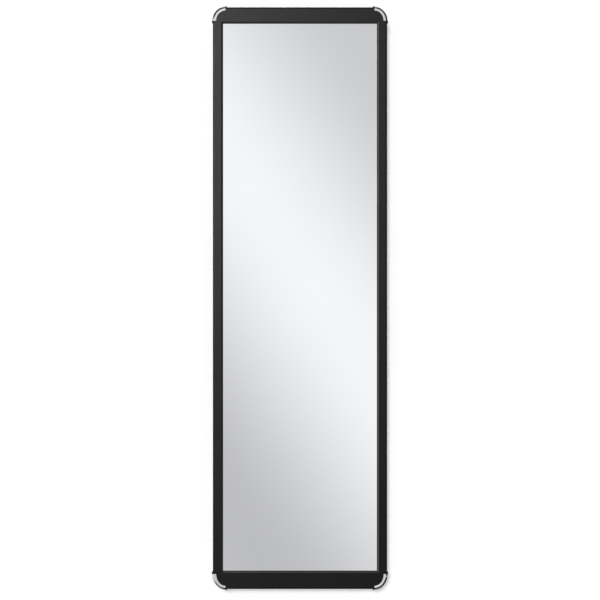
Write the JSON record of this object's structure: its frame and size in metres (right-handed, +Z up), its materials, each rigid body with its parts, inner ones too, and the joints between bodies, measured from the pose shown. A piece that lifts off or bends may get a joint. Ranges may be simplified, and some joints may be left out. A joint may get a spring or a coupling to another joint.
{
  "type": "pull out closet mirror",
  "caption": "Tall framed mirror with rounded bright corners that pulls out of a closet on ball-bearing slides and swivels on an upright post",
  "frame": {"origin": "centre of the mounting plate's back, at the mirror's middle height and width", "axes": "+Z up, +X the way the mirror pulls out, +Y into the closet panel; the glass faces -Y when stowed"},
  "size_m": [0.3692, 0.0518, 1.2232],
  "materials": {
    "black_frame": "satin black",
    "bright_trim": "polished",
    "corner_plastic": "satin black",
    "mirror": "silvered",
    "board": "bare hardboard",
    "gasket": "matte",
    "foam_tape": "foam",
    "black_plate": "powder coated",
    "hinge_steel": "powder coated",
    "slide_steel": "zinc plated",
    "cage_steel": "plain",
    "ball_steel": "polished",
    "bright_steel": "turned",
    "screw_steel": "zinc plated",
    "bush_plastic": "natural",
    "bumper_rubber": "matte",
    "catch_plastic": "matte",
    "magnet": "ground"
  },
  "bodies": {
    "base": {"mounting_plate": "black_plate", "slide_rivets": "screw_steel", "closing_bumpers": "bumper_rubber", "slide_outer_upper": "slide_steel", "slide_outer_lower": "slide_steel"},
    "carriage": {"carriage_plate": "black_plate", "member_screws": "screw_steel", "arm_screws": "screw_steel", "pivot_post": "bright_steel", "post_rings": "bright_steel", "swivel_washers": "bush_plastic", "rest_bumpers": "bumper_rubber", "catch_housing": "catch_plastic", "catch_magnet": "magnet", "catch_screws": "screw_steel", "slide_inner_upper": "slide_steel", "slide_inner_lower": "slide_steel", "pivot_arm_upper": "hinge_steel", "pivot_arm_lower": "hinge_steel"},
    "mirror": {"mirror_glass": "mirror", "backing_board": "board", "glazing_gasket": "gasket", "cushion_tape": "foam_tape", "corner_screws": "screw_steel", "stile_hinge_side": "black_frame", "stile_free_side": "black_frame", "rail_top": "black_frame", "rail_bottom": "black_frame", "corner_top_hinge_side": "corner_plastic", "corner_top_free_side": "corner_plastic", "corner_bottom_hinge_side": "corner_plastic", "corner_bottom_free_side": "corner_plastic", "corner_trim_top_hinge_side": "bright_trim", "corner_trim_top_free_side": "bright_trim", "corner_trim_bottom_hinge_side": "bright_trim", "corner_trim_bottom_free_side": "bright_trim", "hinge_bracket_upper": "hinge_steel", "hinge_bracket_lower": "hinge_steel", "backing_bars": "screw_steel", "bracket_screws": "screw_steel", "pivot_bushes": "bush_plastic", "strike_plate": "bright_steel", "strike_screws": "screw_steel"},
    "middle_upper": {"slide_middle_upper": "slide_steel"},
    "outer_balls_upper": {"outer_cage_upper": "cage_steel", "outer_balls_upper": "ball_steel"},
    "inner_balls_upper": {"inner_cage_upper": "cage_steel", "inner_balls_upper": "ball_steel"},
    "middle_lower": {"slide_middle_lower": "slide_steel"},
    "outer_balls_lower": {"outer_cage_lower": "cage_steel", "outer_balls_lower": "ball_steel"},
    "inner_balls_lower": {"inner_cage_lower": "cage_steel", "inner_balls_lower": "ball_steel"}
  },
  "joints": [
    {"name": "pull_out", "type": "slide", "parent": "base", "child": "carriage", "axis": [1, 0, 0], "range_m": [0, 0.3]},
    {"name": "swivel", "type": "hinge", "parent": "carriage", "child": "mirror", "pos_m": [0.168, -0.0247, 0], "axis": [0, 0, 1], "range_deg": [0, 135]},
    {"name": "middle_upper_run", "type": "slide", "parent": "base", "child": "middle_upper", "axis": [1, 0, 0], "range_m": [0, 0.15]},
    {"name": "outer_balls_upper_run", "type": "slide", "parent": "base", "child": "outer_balls_upper", "axis": [1, 0, 0], "range_m": [0, 0.075]},
    {"name": "inner_balls_upper_run", "type": "slide", "parent": "base", "child": "inner_balls_upper", "axis": [1, 0, 0], "range_m": [0, 0.225]},
    {"name": "middle_lower_run", "type": "slide", "parent": "base", "child": "middle_lower", "axis": [1, 0, 0], "range_m": [0, 0.15]},
    {"name": "outer_balls_lower_run", "type": "slide", "parent": "base", "child": "outer_balls_lower", "axis": [1, 0, 0], "range_m": [0, 0.075]},
    {"name": "inner_balls_lower_run", "type": "slide", "parent": "base", "child": "inner_balls_lower", "axis": [1, 0, 0], "range_m": [0, 0.225]}
  ],
  "couplings": [
    {"joint": "middle_upper_run", "follows": "pull_out", "ratio": 0.5},
    {"joint": "outer_balls_upper_run", "follows": "pull_out", "ratio": 0.25},
    {"joint": "inner_balls_upper_run", "follows": "pull_out", "ratio": 0.75},
    {"joint": "middle_lower_run", "follows": "pull_out", "ratio": 0.5},
    {"joint": "outer_balls_lower_run", "follows": "pull_out", "ratio": 0.25},
    {"joint": "inner_balls_lower_run", "follows": "pull_out", "ratio": 0.75}
  ]
}
